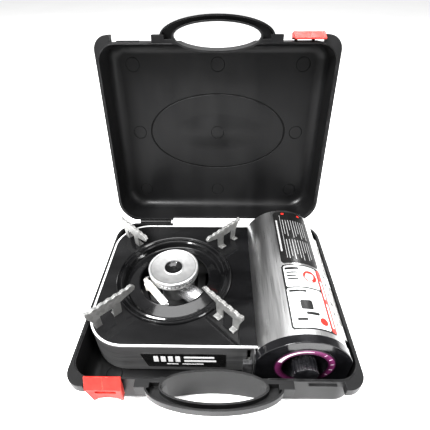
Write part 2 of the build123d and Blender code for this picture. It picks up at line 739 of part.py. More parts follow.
with BuildPart() as regulator_screws:
    for turn in (90.0, 210.0, 330.0):
        spot = (knob_x + 17.0 * cos(radians(turn)), knob_z + 17.0 * sin(radians(turn)))
        with BuildSketch(Plane.XZ.offset(80.4)):
            with Locations(spot):
                Circle(2.6)
        extrude(amount=1.6)
regulator_screws.part.label = "regulator_screws"
export_step(regulator_screws.part, "parts/regulator_screws.step")

# Gas pipe from the regulator's outlet, through the partition, to the jet
jet_end = Vector(*tube_plane.origin) + Vector(*tube_plane.z_dir) * 113.0
pipe_corner = jet_end + Vector(*tube_plane.z_dir) * 18.7
pipe_route = [
    (knob_x - 34.0, -88.0, 38.0), (pipe_corner.X, -88.0, 38.0),
    (pipe_corner.X, pipe_corner.Y, tube_z), (jet_end.X, jet_end.Y, tube_z),
]
with BuildPart() as gas_pipe:
    with BuildLine() as pipe_path:
        FilletPolyline(*pipe_route, radius=4.0)
    with BuildSketch(Plane(origin=pipe_route[0], z_dir=(-1, 0, 0))):
        Circle(2.0)
    sweep()
gas_pipe.part.label = "gas_pipe"
export_step(gas_pipe.part, "parts/gas_pipe.step")

with BuildPart() as spark_unit:
    add(slab(66.0, 84.0, -92.0, -68.0, 13.0, 25.0))
spark_unit.part.label = "spark_unit"
export_step(spark_unit.part, "parts/spark_unit.step")

# ---------------------------------------------------------------- cartridge bay

with BuildPart() as cartridge_cradle:
    with BuildSketch(Plane.XZ.offset(66.0)) as cradle_section:
        with Locations((knob_x, knob_z)):
            Circle(36.4)
            Circle(35.4, mode=Mode.SUBTRACT)
        with Locations((knob_x, knob_z + 27.0)):
            Rectangle(90, 100, mode=Mode.SUBTRACT)
        for side in (-1, 1):
            with Locations((knob_x + side * 27.6, 15.6)):
                Rectangle(1.0, 17.2)
    extrude(amount=-158.0)
cartridge_cradle.part.label = "cartridge_cradle"
export_step(cartridge_cradle.part, "parts/cartridge_cradle.step")

with BuildPart() as rear_end_plate:
    with BuildSketch(Plane.XZ.offset(-(bay_back - 2.2))) as rear_outline:
        with Locations((cover_x, cover_z)):
            Circle(cover_radius - cover_sheet - 0.5)
        with Locations((cover_x - 43.9 + 60.0, cover_z + 31.0)):
            Rectangle(120, 120, mode=Mode.INTERSECT)
        with Locations((133.5 + 30.0, bay_wall_top + 0.3 - 60.0)):
            Rectangle(60.0, 120, mode=Mode.SUBTRACT)
    extrude(amount=1.0)
rear_end_plate.part.label = "rear_end_plate"
export_step(rear_end_plate.part, "parts/rear_end_plate.step")


def bezel_outline(inset):
    """The bezel's D-shaped front, inset from its outside."""
    with BuildSketch(Plane.XZ.offset(-bezel_back)) as outline:
        with Locations((bezel_x, bezel_z)):
            Circle(bezel_radius - inset)
        low, middle = 8.0 + inset, (bezel_left + bezel_right) / 2
        with Locations((middle, low + 60.0)):
            Rectangle(bezel_right - bezel_left - 2 * inset, 120.0, mode=Mode.INTERSECT)
        with Locations((middle, (low + 39.0) / 2)):
            Rectangle(bezel_right - bezel_left - 2 * inset, 39.0 - low)
    return outline.sketch


bezel_depth = bezel_back - bezel_front
with BuildPart() as front_bezel:
    extrude(bezel_outline(0.0), amount=bezel_depth)
    fillet(front_bezel.faces().sort_by(Axis.Y)[0].edges(), 0.8)
    extrude(bezel_outline(1.8), amount=bezel_depth - 1.8, mode=Mode.SUBTRACT)
    with BuildSketch(Plane.XZ.offset(-bezel_back)):
        with Locations((knob_x, knob_z)):
            Circle(well_radius + 1.5)
    extrude(amount=bezel_depth)
    with BuildSketch(Plane.XZ.offset(-bezel_back + 1.5)):
        with Locations((knob_x, knob_z)):
            Circle(well_radius)
    extrude(amount=bezel_depth, mode=Mode.SUBTRACT)
    with BuildSketch(Plane.XZ.offset(-bezel_back - 1)):
        with Locations((knob_x, knob_z)):
            Circle(5.0)
    extrude(amount=4.0, mode=Mode.SUBTRACT)
front_bezel.part.label = "front_bezel"
export_step(front_bezel.part, "parts/front_bezel.step")

with BuildPart() as dial_ring:
    with BuildSketch(Plane.XZ.offset(-bezel_front)):
        with Locations((knob_x, knob_z)):
            Circle(dial_radius)
            Circle(well_radius, mode=Mode.SUBTRACT)
    extrude(amount=0.5)
dial_ring.part.label = "dial_ring"
export_step(dial_ring.part, "parts/dial_ring.step")

knob_radius = 13.0
knob_back, knob_front = -99.0, -116.0
shaft_radius = 2.95
shaft_back, shaft_front = -89.0, -111.0
flute_count = 16
with BuildPart() as gas_knob:
    with BuildSketch(Plane.XZ.offset(-knob_back)):
        with Locations((knob_x, knob_z)):
            Circle(knob_radius)
    extrude(amount=knob_back - knob_front)
    fillet(gas_knob.faces().sort_by(Axis.Y)[0].edges(), 1.2)
    with BuildSketch(Plane.XZ.offset(-knob_back + 2.5)) as flutes:
        with Locations((knob_x, knob_z)):
            with PolarLocations(knob_radius + 0.7, flute_count):
                Circle(1.7)
    extrude(amount=knob_back - knob_front, mode=Mode.SUBTRACT)
    with BuildSketch(Plane.XZ.offset(-knob_back)):
        with Locations((knob_x, knob_z)):
            Circle(shaft_radius)
    extrude(amount=knob_back - shaft_front, mode=Mode.SUBTRACT)
gas_knob.part.label = "gas_knob"
export_step(gas_knob.part, "parts/gas_knob.step")

with BuildPart() as valve_shaft:
    with BuildSketch(Plane.XZ.offset(-shaft_back)):
        with Locations((knob_x, knob_z)):
            Circle(shaft_radius)
    extrude(amount=shaft_back - shaft_front)
valve_shaft.part.label = "valve_shaft"
export_step(valve_shaft.part, "parts/valve_shaft.step")

# Cover: an arched sheet from the top plate's edge over to its hinge on the right
cover_left_z = plate_top + 0.9
cover_right_z = 54.9


def arch_point(radius, height, side):
    """Point of the cover's arch at a height, on its left (-1) or right (1)."""
    return (cover_x + side * sqrt(radius**2 - (height - cover_z) ** 2), height)


inner_radius = cover_radius - cover_sheet
with BuildPart() as canister_cover:
    with BuildSketch(Plane.XZ.offset(-cover_back)) as arch:
        with BuildLine():
            outer = ThreePointArc(
                arch_point(cover_radius, cover_left_z, -1),
                (cover_x, cover_z + cover_radius),
                arch_point(cover_radius, cover_right_z, 1),
            )
            Line(outer @ 1, arch_point(inner_radius, cover_right_z, 1))
            ThreePointArc(
                arch_point(inner_radius, cover_right_z, 1),
                (cover_x, cover_z + inner_radius),
                arch_point(inner_radius, cover_left_z, -1),
            )
            Line(arch_point(inner_radius, cover_left_z, -1), outer @ 0)
        make_face()
    extrude(amount=cover_back - cover_front)
    # hinge knuckles
    for low in (-80.0, -8.0, 64.0):
        with BuildSketch(Plane.XZ.offset(-low)):
            with BuildLine():
                Polyline(
                    arch_point(inner_radius, cover_right_z, 1),
                    (arch_point(cover_radius, cover_right_z + 2.0, 1)),
                    (cover_hinge_x + 1.4, cover_hinge_z + 1.2),
                    (cover_hinge_x, cover_hinge_z),
                    close=True,
                )
            make_face()
            with Locations((cover_hinge_x, cover_hinge_z)):
                Circle(2.0)
                Circle(0.8 + running_gap, mode=Mode.SUBTRACT)
        extrude(amount=-18.0)
canister_cover.part.label = "canister_cover"
export_step(canister_cover.part, "parts/canister_cover.step")

# Fixed half of the cover's hinge, a rolled strip welded to the bay's right wall
with BuildPart() as cover_hinge_leaf:
    for low, length in ((-61.6, 53.2), (10.4, 53.2)):
        with BuildSketch(Plane.XZ.offset(-low)):
            with BuildLine():
                Polyline(
                    (body_right - sheet - 1.0, 38.0), (body_right - sheet, 38.0),
                    (body_right - sheet, bay_wall_top), (cover_hinge_x + 0.6, cover_hinge_z),
                    (cover_hinge_x - 1.2, cover_hinge_z), (body_right - sheet - 1.0, bay_wall_top),
                    close=True,
                )
            make_face()
            with Locations((cover_hinge_x, cover_hinge_z)):
                Circle(2.0)
                Circle(0.8, mode=Mode.SUBTRACT)
        extrude(amount=-length)
cover_hinge_leaf.part.label = "cover_hinge_leaf"
export_step(cover_hinge_leaf.part, "parts/cover_hinge_leaf.step")

with BuildPart() as cover_hinge_pin:
    with BuildSketch(Plane.XZ.offset(80.0)):
        with Locations((cover_hinge_x, cover_hinge_z)):
            Circle(0.8)
    extrude(amount=-162.0)
cover_hinge_pin.part.label = "cover_hinge_pin"
export_step(cover_hinge_pin.part, "parts/cover_hinge_pin.step")

# ---------------------------------------------------------------- lock lever

with BuildPart() as lever_guide:
    add(slab(32.0, 42.0, body_front + sheet, body_front + sheet + 1.2, 11.0, 53.0))
    add(slab(35.4, 38.6, body_front - 1, body_front + 4, 14.0, 50.0), mode=Mode.SUBTRACT)
lever_guide.part.label = "lever_guide"
export_step(lever_guide.part, "parts/lever_guide.step")

lever_x = 37.0
with BuildPart() as lock_lever:
    # inner plate behind the guide, and the neck that passes through both slots
    add(slab(lever_x - 7, lever_x + 7, body_front + 2.5, body_front + 3.7, 15.0, 33.0))
    add(slab(lever_x - 1.4, lever_x + 1.4, body_front - 0.4, body_front + 3.0, 16.0, 31.0))
lock_lever.part.label = "lock_lever"
export_step(lock_lever.part, "parts/lock_lever.step")

with BuildPart() as lever_knob:
    with BuildSketch(Plane.XZ.offset(-body_front + 0.4)) as knob_outline:
        with BuildLine():
            Polyline(
                (30.6, 34.0), (41.6, 34.0), (41.6, 10.0), (38.6, 5.6), (33.6, 5.6), (30.6, 10.0),
                close=True,
            )
        make_face()
        fillet(knob_outline.vertices(), 1.2)
    extrude(amount=5.4)
    fillet(lever_knob.faces().sort_by(Axis.Y)[0].edges(), 0.8)
lever_knob.part.label = "lever_knob"
export_step(lever_knob.part, "parts/lever_knob.step")
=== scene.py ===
import math
import bpy
import numpy as np
from mathutils import Matrix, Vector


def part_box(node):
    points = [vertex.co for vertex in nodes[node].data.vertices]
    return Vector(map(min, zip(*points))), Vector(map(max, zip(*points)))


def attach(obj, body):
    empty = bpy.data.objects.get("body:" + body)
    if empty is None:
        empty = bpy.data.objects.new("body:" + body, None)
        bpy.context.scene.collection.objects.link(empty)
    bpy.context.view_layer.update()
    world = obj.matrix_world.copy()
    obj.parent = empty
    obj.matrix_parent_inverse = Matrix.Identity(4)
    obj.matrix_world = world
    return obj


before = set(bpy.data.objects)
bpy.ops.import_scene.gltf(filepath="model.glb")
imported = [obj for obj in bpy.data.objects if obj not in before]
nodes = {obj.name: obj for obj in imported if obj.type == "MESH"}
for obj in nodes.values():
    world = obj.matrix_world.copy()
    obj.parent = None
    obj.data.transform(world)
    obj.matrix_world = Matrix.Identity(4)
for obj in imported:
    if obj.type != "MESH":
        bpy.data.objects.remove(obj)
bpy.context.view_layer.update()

# ---------------------------------------------------------------------------
# Carry case: tray and lid, two mouldings in charcoal polypropylene.
# The mould leaves a fine spark texture; rims and handle pick up pale scuffs.
# ---------------------------------------------------------------------------


def add_node(tree, kind, settings=None, **inputs):
    """One node of a finish. A value that is another node's socket is linked, any other is set."""
    made = tree.nodes.new(kind)
    for key, value in (settings or {}).items():
        setattr(made, key, value)
    for key, value in inputs.items():
        socket = made.inputs[key.replace("_", " ")]
        if isinstance(value, bpy.types.NodeSocket):
            tree.links.new(value, socket)
        else:
            socket.default_value = value
    return made


def start_finish(name, colour, roughness, **sockets):
    """A new material and its shader; what is the same all over is set on the shader itself."""
    material = bpy.data.materials.new(name)
    material.use_nodes = True
    tree = material.node_tree
    shader = tree.nodes["Principled BSDF"]
    shader.inputs["Base Color"].default_value = (*colour, 1.0)
    shader.inputs["Roughness"].default_value = roughness
    for key, value in sockets.items():
        shader.inputs[key.replace("_", " ")].default_value = value
    return material, tree, shader


def cloud(tree, size, stretch=(1, 1, 1), detail=3.0, low=0.35, high=0.65, shift=(0, 0, 0)):
    """Noise whose blobs are size metres across, drawn out along each axis by stretch, as 0 to 1."""
    where = add_node(tree, "ShaderNodeTexCoord")
    placed = add_node(tree, "ShaderNodeMapping", Vector=where.outputs["Object"], Location=shift,
                      Scale=tuple(1.0 / part for part in stretch))
    noise = add_node(tree, "ShaderNodeTexNoise", Vector=placed.outputs["Vector"],
                     Scale=1.0 / size, Detail=detail)
    return add_node(tree, "ShaderNodeMapRange", Value=noise.outputs["Fac"],
                    From_Min=low, From_Max=high).outputs["Result"]


def reach(tree, factor, low, high):
    """A 0 to 1 factor spread between two values."""
    return add_node(tree, "ShaderNodeMapRange", Value=factor, To_Min=low, To_Max=high).outputs["Result"]


def blend_tones(tree, factor, *stops):
    """Colours along a factor: each stop is (position, (red, green, blue))."""
    ramp = add_node(tree, "ShaderNodeValToRGB", Fac=factor)
    elements = ramp.color_ramp.elements
    while len(elements) < len(stops):
        elements.new(0.5)
    for element, (position, colour) in zip(elements, stops):
        element.position = position
        element.color = (*colour, 1.0)
    return ramp.outputs["Color"]


def combine(tree, how, first, second):
    """Two factors put together by multiply, maximum, add and so on."""
    made = add_node(tree, "ShaderNodeMath", {"operation": how, "use_clamp": True})
    for socket, value in zip(made.inputs, (first, second)):
        if isinstance(value, bpy.types.NodeSocket):
            tree.links.new(value, socket)
        else:
            socket.default_value = value
    return made.outputs["Value"]


def join(tree, source, shader, name):
    """Links a colour or factor into one of the shader's sockets."""
    tree.links.new(source, shader.inputs[name])


def tint(tree, shader, factor, *stops):
    """Base colour along a factor: each stop is (position, (red, green, blue))."""
    join(tree, blend_tones(tree, factor, *stops), shader, "Base Color")


def roughen(tree, shader, factor, low, high):
    """Roughness spread between two values by a factor."""
    join(tree, reach(tree, factor, low, high), shader, "Roughness")


def vector_step(tree, how, first, second=None):
    """One vector node, such as the length of a vector or the product of two."""
    made = add_node(tree, "ShaderNodeVectorMath", {"operation": how})
    tree.links.new(first, made.inputs[0])
    if second is not None:
        tree.links.new(second, made.inputs[1])
    return made


def near(tree, value, target, span):
    """1 where a value lies within span of its target, 0 elsewhere."""
    made = add_node(tree, "ShaderNodeMath", {"operation": "COMPARE"})
    tree.links.new(value, made.inputs[0])
    made.inputs[1].default_value, made.inputs[2].default_value = target, span
    return made.outputs["Value"]


def relief(tree, shader, *layers, softened=0.0):
    """Bump layers (height factor, depth in metres) over a slightly rounded edge."""
    last = None
    if softened:
        last = add_node(tree, "ShaderNodeBevel", {"samples": 4}, Radius=softened).outputs["Normal"]
    for height, depth in layers:
        bump = add_node(tree, "ShaderNodeBump", Height=height, Distance=depth, Strength=1.0)
        if last is not None:
            tree.links.new(last, bump.inputs["Normal"])
        last = bump.outputs["Normal"]
    tree.links.new(last, shader.inputs["Normal"])


def worn_edges(tree, radius, low=0.02, high=0.25):
    """1 on sharp outer edges, 0 on flats: how far the edge-rounded normal leans from the true one."""
    rounded = add_node(tree, "ShaderNodeBevel", {"samples": 4}, Radius=radius)
    flat = add_node(tree, "ShaderNodeNewGeometry")
    lean = vector_step(tree, "DOT_PRODUCT", rounded.outputs["Normal"], flat.outputs["Normal"])
    return add_node(tree, "ShaderNodeMapRange", Value=lean.outputs["Value"],
                    From_Min=1.0 - low, From_Max=1.0 - high).outputs["Result"]


def give(material, *names):
    """Puts a finish on CAD nodes, in every slot they have."""
    for name in names:
        piece = nodes[name]
        if not piece.material_slots:
            piece.data.materials.append(material)
        for place in piece.material_slots:
            place.link = "OBJECT"
            place.material = material


hinge_y, hinge_z = 0.128, 0.05
lid_open_angle = 97.8
mark_spacing_x, mark_spacing_y, mark_radius = 0.116, 0.0935, 0.00915
oval_half_long, oval_half_short = 0.0987, 0.0552
dish_half_long, dish_half_short = 0.074, 0.0287
inner_depth = 0.0488


def in_half(tree, opened):
    """Place in a case half's own axes, measured from its hinge line; opened is how far it is swung."""
    where = add_node(tree, "ShaderNodeTexCoord")
    swung_back = add_node(tree, "ShaderNodeMapping", {"vector_type": "TEXTURE"},
                          Vector=where.outputs["Object"], Location=(0.0, hinge_y, hinge_z),
                          Rotation=(math.radians(-opened), 0.0, 0.0))
    return swung_back.outputs["Vector"]


def oval_distance(tree, place, half_long, half_short):
    """Distance from the middle of the floor in an oval's own measure: 0 in the middle, 1 on its line."""
    scaled = add_node(tree, "ShaderNodeMapping", Vector=place, Location=(0.0, hinge_y / half_short, 0.0),
                      Scale=(1.0 / half_long, 1.0 / half_short, 0.0)).outputs["Vector"]
    return vector_step(tree, "LENGTH", scaled).outputs["Value"]


def round_marks(tree, place):
    """1 on the lines of the nine round floor marks: one circle, in cells the size of their spacing."""
    half_line = 0.0005
    moved = add_node(tree, "ShaderNodeMapping", Vector=place, Location=(0.0, hinge_y, 0.0),
                     Scale=(1.0, 1.0, 0.0))
    cell = vector_step(tree, "WRAP", moved.outputs["Vector"])
    cell.inputs[1].default_value = (mark_spacing_x / 2, mark_spacing_y / 2, 1.0)
    cell.inputs[2].default_value = (-mark_spacing_x / 2, -mark_spacing_y / 2, -1.0)
    distance = vector_step(tree, "LENGTH", cell.outputs["Vector"]).outputs["Value"]
    return near(tree, distance, mark_radius, half_line)


def case_finish(name, opened):
    """Charcoal plastic for one half: flow marks, scuffed edges, painted shade in the grooves of the oval and
    the round marks, and a shallow dish.
    """
    material, tree, shader = start_finish(name, (0.016, 0.016, 0.017), 0.33, Specular_IOR_Level=0.33)
    spark_texture = cloud(tree, 0.00045, detail=2.0)
    flow_marks = cloud(tree, 0.045, stretch=(1, 3, 3), detail=2.0)
    scuffs = combine(tree, "MULTIPLY", worn_edges(tree, 0.0011),
                     cloud(tree, 0.012, detail=5.0, low=0.42, high=0.6))
    place = in_half(tree, opened)
    depth = add_node(tree, "ShaderNodeSeparateXYZ", Vector=place).outputs["Z"]
    inside = near(tree, depth, 0.0, inner_depth)
    groove = near(tree, oval_distance(tree, place, oval_half_long, oval_half_short), 1.0, 0.013)
    # The oval groove and the round mark grooves are painted a tenth as bright: painted shade in the grooves.
    painted_groove_shade = combine(tree, "MULTIPLY", combine(tree, "MAXIMUM", groove, round_marks(tree, place)), inside)
    from_middle = oval_distance(tree, place, dish_half_long, dish_half_short)
    hollow = add_node(tree, "ShaderNodeMapRange", {"interpolation_type": "SMOOTHSTEP"}, Value=from_middle,
                      From_Min=1.0, From_Max=0.05)
    dish = combine(tree, "MULTIPLY", inside, hollow.outputs["Result"])
    tones = blend_tones(tree, flow_marks, (0.0, (0.010, 0.010, 0.0105)), (1.0, (0.018, 0.018, 0.0185)))
    pale = blend_tones(tree, scuffs, (0.0, (0.0, 0.0, 0.0)), (1.0, (0.055, 0.055, 0.056)))
    lifted = vector_step(tree, "ADD", tones, pale).outputs["Vector"]
    shade = blend_tones(tree, painted_groove_shade, (0.0, (1.0, 1.0, 1.0)), (1.0, (0.1, 0.1, 0.1)))
    join(tree, vector_step(tree, "MULTIPLY", lifted, shade).outputs["Vector"], shader, "Base Color")
    rough = combine(tree, "ADD", combine(tree, "MULTIPLY", flow_marks, 0.5),
                    combine(tree, "ADD", scuffs, painted_groove_shade))
    roughen(tree, shader, rough, 0.31, 0.6)
    relief(tree, shader, (spark_texture, 0.00002), (flow_marks, 0.00006), (dish, 0.0035), softened=0.0009)
    return material


give(case_finish("case_plastic_tray", 0.0), "tray_shell")
give(case_finish("case_plastic_lid", lid_open_angle), "lid_shell")

# ---------------------------------------------------------------------------
# Hinge pins, latch pins and the small screws and shafts: drawn steel wire, nickel plated.
# Pressed or screwed in place, with fine draw lines and dull fingerprints.
# ---------------------------------------------------------------------------

pin_steel, tree, shader = start_finish("pin_steel", (0.55, 0.55, 0.54), 0.28, Metallic=1.0)
draw_lines = cloud(tree, 0.0004, stretch=(12, 1, 1), detail=2.0)
dull = cloud(tree, 0.004, detail=4.0)
tint(tree, shader, dull, (0.0, (0.42, 0.42, 0.41)), (1.0, (0.62, 0.62, 0.61)))
roughen(tree, shader, dull, 0.2, 0.42)
relief(tree, shader, (draw_lines, 0.00001))
give(pin_steel, "hinge_pins", "tray_latch_pin", "lid_latch_pin", "spark_electrode", "regulator_screws",
     "valve_shaft", "cover_hinge_pin")

# ---------------------------------------------------------------------------
# Latches: two hooked blocks moulded in coral red, each turning on its pin.
# The plastic is a little translucent, satin, and rubbed pale along its corners.
# ---------------------------------------------------------------------------

latch_plastic, tree, shader = start_finish("latch_plastic", (0.7, 0.06, 0.04), 0.42, Subsurface_Weight=0.08,
                                           Specular_IOR_Level=0.3, Subsurface_Radius=(0.004, 0.001, 0.0008),
                                           Subsurface_Scale=0.5)
swirl = cloud(tree, 0.009, detail=3.0)
rubbed = combine(tree, "MULTIPLY", worn_edges(tree, 0.0008),
                 cloud(tree, 0.004, detail=4.0, low=0.35, high=0.6))
latch_tone = blend_tones(tree, combine(tree, "ADD", combine(tree, "MULTIPLY", swirl, 0.55), rubbed),
                         (0.0, (0.44, 0.032, 0.024)), (0.55, (0.54, 0.045, 0.034)), (1.0, (0.8, 0.19, 0.14)))
join(tree, latch_tone, shader, "Base Color")
roughen(tree, shader, swirl, 0.38, 0.52)
relief(tree, shader, (cloud(tree, 0.0005, detail=1.0), 0.00002), (swirl, 0.00004), softened=0.0006)
give(latch_plastic, "tray_latch", "lid_latch")

# ---------------------------------------------------------------------------
# Stove body: steel sheet, brushed along its length and lacquered dark grey.
# The brushing runs level round all four sides.
# ---------------------------------------------------------------------------

brushed_body, tree, shader = start_finish("brushed_body", (0.1, 0.1, 0.1), 0.4, Metallic=0.6,
                                          Coat_Weight=0.12, Coat_Roughness=0.3)
level_lines = cloud(tree, 0.0007, stretch=(60, 60, 1), detail=3.0, low=0.3, high=0.7)
wide_bands = cloud(tree, 0.009, stretch=(14, 14, 1), detail=2.0)
lines = combine(tree, "ADD", combine(tree, "MULTIPLY", level_lines, 0.7),
                combine(tree, "MULTIPLY", wide_bands, 0.3))
tint(tree, shader, lines, (0.0, (0.12, 0.12, 0.121)), (1.0, (0.36, 0.36, 0.363)))
roughen(tree, shader, level_lines, 0.34, 0.5)
relief(tree, shader, (level_lines, 0.00002), softened=0.0007)
give(brushed_body, "body_shell")

# ---------------------------------------------------------------------------
# Inner sheet parts: the bay wall, brackets, cradle, hinge leaf and lock lever.
# Bare cold-rolled steel, zinc washed, with faint rolling lines and cut edges.
# ---------------------------------------------------------------------------

plain_sheet, tree, shader = start_finish("plain_sheet", (0.42, 0.42, 0.41), 0.38, Metallic=1.0)
rolling = cloud(tree, 0.0012, stretch=(1, 30, 1), detail=3.0)
bloom = cloud(tree, 0.012, detail=4.0)
tint(tree, shader, bloom, (0.0, (0.36, 0.36, 0.35)), (1.0, (0.55, 0.55, 0.54)))
roughen(tree, shader, rolling, 0.28, 0.45)
relief(tree, shader, (rolling, 0.00002), softened=0.0003)
give(plain_sheet, "partition_wall", "jet_bracket", "mounting_plate", "cartridge_cradle", "cover_hinge_leaf",
     "lever_guide", "lock_lever")

# ---------------------------------------------------------------------------
# Spark shield: a bright strip that slopes down beside the burner, with a clip and a leg.
# Polished stainless, tinted faint straw where it runs hot.
# ---------------------------------------------------------------------------

bright_fold, tree, shader = start_finish("bright_fold", (0.85, 0.85, 0.85), 0.2, Metallic=0.6)
heat = cloud(tree, 0.018, detail=2.0)
tint(tree, shader, heat, (0.0, (0.9, 0.9, 0.9)), (0.7, (0.85, 0.85, 0.84)), (1.0, (0.78, 0.75, 0.68)))
roughen(tree, shader, cloud(tree, 0.0008, stretch=(20, 1, 1)), 0.16, 0.3)
relief(tree, shader, (cloud(tree, 0.0008, stretch=(20, 1, 1)), 0.00001), softened=0.0003)
give(bright_fold, "igniter_bracket")

# ---------------------------------------------------------------------------
# Top plate and drip pan: pressed steel in glossy black stove enamel.
# Fired enamel has a soft orange-peel surface and pin-head specks.
# ---------------------------------------------------------------------------

black_enamel, tree, shader = start_finish("black_enamel", (0.008, 0.008, 0.0085), 0.1,
                                          Coat_Weight=0.5, Coat_Roughness=0.05)
peel = cloud(tree, 0.0035, detail=1.5, low=0.3, high=0.7)
specks = cloud(tree, 0.0006, detail=1.0, low=0.7, high=0.78)
wiped = cloud(tree, 0.03, stretch=(3, 1, 1), detail=4.0)
enamel_tone = combine(tree, "MAXIMUM", specks, combine(tree, "MULTIPLY", wiped, 0.35))
tint(tree, shader, enamel_tone, (0.0, (0.006, 0.006, 0.0065)), (1.0, (0.03, 0.03, 0.031)))
roughen(tree, shader, wiped, 0.07, 0.17)
relief(tree, shader, (peel, 0.000012), softened=0.0008)
give(black_enamel, "top_plate", "drip_pan")

# ---------------------------------------------------------------------------
# Edge trim: a bright rolled strip clipped round the top plate; its near-white, partly matt colour is a
# painted highlight along the rim.
# Anodised aluminium, polished, with light drag marks along it.
# ---------------------------------------------------------------------------

# Near-white colour on a part-metal shader: a painted highlight along the trim.
bright_trim, tree, shader = start_finish("bright_trim", (0.9, 0.9, 0.9), 0.3, Metallic=0.35)
drag_marks = cloud(tree, 0.0009, stretch=(18, 18, 1), detail=3.0)
tint(tree, shader, drag_marks, (0.0, (0.88, 0.88, 0.88)), (1.0, (0.97, 0.97, 0.97)))
roughen(tree, shader, drag_marks, 0.24, 0.4)
relief(tree, shader, (drag_marks, 0.000008), softened=0.0003)
give(bright_trim, "edge_trim")

# ---------------------------------------------------------------------------
# Feet: moulded rubber pads under the body.
# The rubber is matt black and greyed with dust.
# ---------------------------------------------------------------------------

foot_rubber, tree, shader = start_finish("foot_rubber", (0.02, 0.02, 0.02), 0.75)
dust = cloud(tree, 0.004, detail=4.0)
tint(tree, shader, dust, (0.0, (0.014, 0.014, 0.014)), (1.0, (0.045, 0.044, 0.042)))
roughen(tree, shader, dust, 0.65, 0.9)
relief(tree, shader, (cloud(tree, 0.0006), 0.00005), softened=0.0004)
give(foot_rubber, "rubber_feet")

# ---------------------------------------------------------------------------
# Badge: a black enamelled plate stuck on the body's front, printed with plain pale bars.
# Each bar is a thin raised slab of screen ink with rounded ends.
# ---------------------------------------------------------------------------

badge_black, tree, shader = start_finish("badge_black", (0.006, 0.006, 0.006), 0.25, Coat_Weight=0.3)
smears = cloud(tree, 0.012, detail=4.0)
tint(tree, shader, smears, (0.0, (0.004, 0.004, 0.004)), (1.0, (0.014, 0.014, 0.014)))
roughen(tree, shader, smears, 0.18, 0.34)
relief(tree, shader, (cloud(tree, 0.0007), 0.000008), softened=0.0003)
give(badge_black, "badge_plate")


def new_piece(name, points, faces, material, body):
    """A finished mesh piece from point and face arrays, riding on its CAD body."""
    mesh = bpy.data.meshes.new(name)
    mesh.from_pydata(points.tolist(), [], faces)
    mesh.materials.append(material)
    mesh.validate()
    piece = bpy.data.objects.new(name, mesh)
    bpy.context.scene.collection.objects.link(piece)
    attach(piece, body)
    return piece


def ink_slabs(shapes, lift, thickness, surface):
    """Closed thin slabs of ink: each flat outline (n points of two parameters) is laid on a surface at
    height lift, again at height lift + thickness, and the two rings are joined by a wall."""
    points, faces = [], []
    for outline in shapes:
        outline = np.asarray(outline)
        count = len(outline)
        first = sum(len(part) for part in points)
        points += [surface(outline, lift), surface(outline, lift + thickness)]
        ring = np.arange(count)
        after = (ring + 1) % count
        faces.append((first + ring[::-1]).tolist())
        faces.append((first + count + ring).tolist())
        walls = np.stack([first + ring, first + after, first + count + after, first + count + ring], axis=1)
        faces += walls.tolist()
    return np.concatenate(points), faces


def rounded_bar(left, right, bottom, top, radius, steps=4):
    """Outline of a bar with rounded corners: four quarter circles joined up, anticlockwise."""
    turns = np.linspace(0, math.pi / 2, steps)
    corners = []
    centres = ((right - radius, bottom + radius), (right - radius, top - radius),
               (left + radius, top - radius), (left + radius, bottom + radius))
    for index, (x, y) in enumerate(centres):
        turn = math.pi / 2 * (index - 1) + turns
        corners.append(np.stack([x + radius * np.cos(turn), y + radius * np.sin(turn)], axis=1))
    return np.concatenate(corners)


badge_low, badge_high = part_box("badge_plate")


def on_badge(outline, lift):
    """Outline (x, z) laid on the badge's front face, lift metres out of it."""
    return np.stack([outline[:, 0], np.full(len(outline), badge_low[1] - lift), outline[:, 1]], axis=1)


badge_ink, tree, shader = start_finish("badge_ink", (0.9, 0.9, 0.9), 0.45)
thin_spots = cloud(tree, 0.0008, detail=3.0, low=0.15, high=0.5)
tint(tree, shader, thin_spots, (0.0, (0.75, 0.75, 0.75)), (1.0, (0.96, 0.96, 0.96)))
roughen(tree, shader, thin_spots, 0.4, 0.6)

badge_mid_x = (badge_low[0] + badge_high[0]) / 2
badge_z = badge_low[2]
block_left, block_width, block_step = -0.0330, 0.0055, 0.0080
block_foot, block_head = badge_z + 0.0100, badge_z + 0.0210
block_corner, bar_corner = 0.0009, 0.0006
badge_bars = []
for step in range(4):
    left = badge_mid_x + block_left + block_step * step
    badge_bars.append(rounded_bar(left, left + block_width, block_foot, block_head, block_corner))
# Long bars beside the blocks and short ones under them: left and right from the middle, bottom and top
long_bars = ((0.0005, 0.0340, 0.0172, 0.0208), (0.0005, 0.0360, 0.0102, 0.0138),
             (-0.0190, -0.0060, 0.0048, 0.0066), (-0.0020, 0.0220, 0.0048, 0.0066))
for left, right, bottom, top in long_bars:
    badge_bars.append(rounded_bar(badge_mid_x + left, badge_mid_x + right, badge_z + bottom, badge_z + top,
                                  bar_corner))
ink_lift = 0.00001
badge_ink_thickness = 0.00012
points, faces = ink_slabs([bar[::-1] for bar in badge_bars], ink_lift, badge_ink_thickness, on_badge)
new_piece("badge_bars", points, faces, badge_ink, "stove")

# ---------------------------------------------------------------------------
# Burner: cast aluminium cup and cap on the stove's middle, machined on top.
# The cap is turned bright, with painted shade in its dimple and a painted shade ring and highlight at its
# rim; the cup is left as cast, greyer and grainy.
# ---------------------------------------------------------------------------

cap_low, cap_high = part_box("burner_cap")
burner_x, burner_y = (cap_low[0] + cap_high[0]) / 2, (cap_low[1] + cap_high[1]) / 2


def from_burner(tree):
    """Distance from the burner's upright axis, in metres."""
    where = add_node(tree, "ShaderNodeTexCoord")
    moved = add_node(tree, "ShaderNodeMapping", Vector=where.outputs["Object"],
                     Location=(-burner_x, -burner_y, 0.0), Scale=(1.0, 1.0, 0.0))
    return vector_step(tree, "LENGTH", moved.outputs["Vector"]).outputs["Value"]


def spread_between(tree, value, low, high):
    """0 to 1 as a value goes from low to high."""
    return add_node(tree, "ShaderNodeMapRange", Value=value, From_Min=low, From_Max=high).outputs["Result"]


